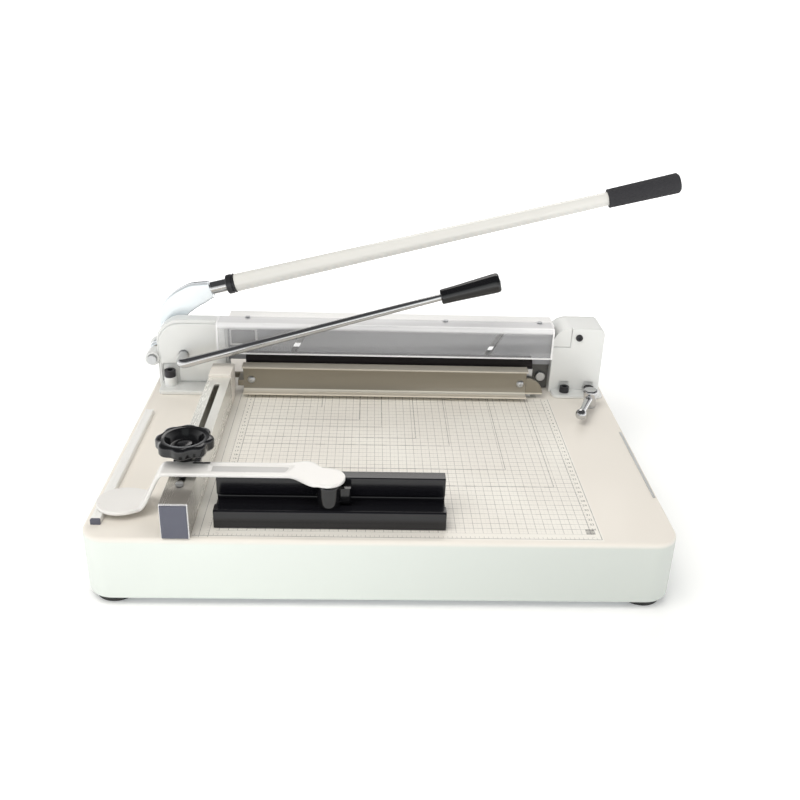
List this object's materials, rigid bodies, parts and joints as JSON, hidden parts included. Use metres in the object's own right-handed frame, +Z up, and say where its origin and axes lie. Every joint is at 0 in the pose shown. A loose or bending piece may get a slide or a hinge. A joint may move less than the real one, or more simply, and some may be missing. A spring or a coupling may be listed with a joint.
{
  "type": "guillotine paper cutter",
  "caption": "Desktop stack paper cutter: long hand lever drives a full-width knife between end frames, a second lever works the press bar, and a fence slides on a slotted rail.",
  "frame": {"origin": "on the floor, under the middle of the bounding box", "axes": "+X to the right along the knife, +Y from the operator's edge to the rear, +Z up"},
  "size_m": [0.7468, 0.5, 0.4052],
  "materials": {
    "casing_paint": "satin",
    "frame_paint": "satin",
    "lever_paint": "gloss",
    "cover_paint": "satin",
    "grid_print": "matte print",
    "stick_plastic": "matte",
    "strip_plastic": "satin",
    "plug_plastic": "satin",
    "cap_plastic": "satin",
    "foot_rubber": "matte",
    "grip_rubber": "knurled",
    "black_plastic": "gloss",
    "fence_black": "black anodised",
    "zinc_steel": "zinc plated",
    "dark_steel": "black oxide",
    "chrome_steel": "polished",
    "knife_steel": "ground",
    "carrier_black": "satin black",
    "beam_grey": "satin",
    "bar_champagne": "satin anodised",
    "plate_grey": "satin",
    "bearing_bronze": "machined",
    "clear_plastic": "clear"
  },
  "bodies": {
    "machine": {"base_casing": "casing_paint", "bottom_plate": "zinc_steel", "rubber_feet": "foot_rubber", "foot_screws": "zinc_steel", "grid_sheet": "grid_print", "cutting_stick": "stick_plastic", "left_edge_strip": "strip_plastic", "strip_end_plug": "plug_plastic", "right_edge_strip": "strip_plastic", "guide_rail": "casing_paint", "rail_end_cap": "cap_plastic", "rail_bracket": "casing_paint", "rail_screws": "zinc_steel", "left_frame": "frame_paint", "left_frame_plate": "frame_paint", "right_frame": "frame_paint", "right_corner_cap": "frame_paint", "right_rear_plate": "frame_paint", "right_wing": "plate_grey", "frame_bolts": "dark_steel", "plate_screw": "dark_steel", "stop_bolt": "zinc_steel", "cross_beam": "beam_grey", "beam_bolts": "dark_steel", "top_cover": "cover_paint", "guard": "clear_plastic", "guard_screws": "zinc_steel", "lever_shaft": "zinc_steel", "lever_nut": "zinc_steel", "clamp_bush": "bearing_bronze", "lock_spindle": "zinc_steel"},
    "hand_lever": {"lever_casting": "lever_paint", "lever_bush": "bearing_bronze", "lever_stub": "chrome_steel", "lever_collar": "dark_steel", "lever_tube": "casing_paint", "lever_grip": "grip_rubber", "crank_pin": "zinc_steel"},
    "knife_slide": {"knife_carrier": "carrier_black", "knife": "knife_steel", "knife_screws": "dark_steel", "guide_pins": "zinc_steel", "drive_bar": "dark_steel"},
    "clamp_lever": {"clamp_rod": "chrome_steel", "clamp_grip": "black_plastic", "clamp_grip_cap": "zinc_steel", "clamp_shaft": "chrome_steel", "clamp_crank": "dark_steel", "clamp_crank_pin": "zinc_steel"},
    "press": {"press_bar": "bar_champagne", "bar_screws": "zinc_steel", "bar_end_plate": "plate_grey", "lift_arm": "dark_steel"},
    "gauge": {"gauge_arm": "lever_paint", "gauge_fence": "fence_black", "gauge_post": "black_plastic", "gauge_shoe": "black_plastic", "gauge_stud": "zinc_steel"},
    "knob": {"star_knob": "black_plastic"},
    "lock": {"lock_lever": "chrome_steel"}
  },
  "joints": [
    {"name": "hand_lever_hinge", "type": "hinge", "parent": "machine", "child": "hand_lever", "pos_m": [-0.3604, 0.175, 0.132], "axis": [0, -1, 0], "range_deg": [0, 60]},
    {"name": "knife_travel", "type": "slide", "parent": "machine", "child": "knife_slide", "axis": [0.4703, 0, 0.8825], "range_m": [0, 0.05]},
    {"name": "clamp_lever_hinge", "type": "hinge", "parent": "machine", "child": "clamp_lever", "pos_m": [-0.3154, 0.106, 0.138], "axis": [0, -1, 0], "range_deg": [-10, 65]},
    {"name": "press_travel", "type": "slide", "parent": "machine", "child": "press", "axis": [0, 0, 1], "range_m": [-0.00575, 0.0373]},
    {"name": "gauge_travel", "type": "slide", "parent": "machine", "child": "gauge", "axis": [0, 1, 0], "range_m": [-0.018, 0.22]},
    {"name": "knob_turn", "type": "hinge", "parent": "gauge", "child": "knob", "pos_m": [-0.25661, -0.165, 0.158], "axis": [0, 0, 1], "range_deg": [-180, 180]},
    {"name": "lock_lever_hinge", "type": "hinge", "parent": "machine", "child": "lock", "pos_m": [0.2641, 0.095, 0.103], "axis": [0, 0, 1], "range_deg": [0, 75]}
  ],
  "couplings": [
    {"joint": "knife_travel", "follows": "hand_lever_hinge", "m_per_rad": 0.047718},
    {"joint": "press_travel", "follows": "clamp_lever_hinge", "m_per_rad": 0.03285}
  ]
}
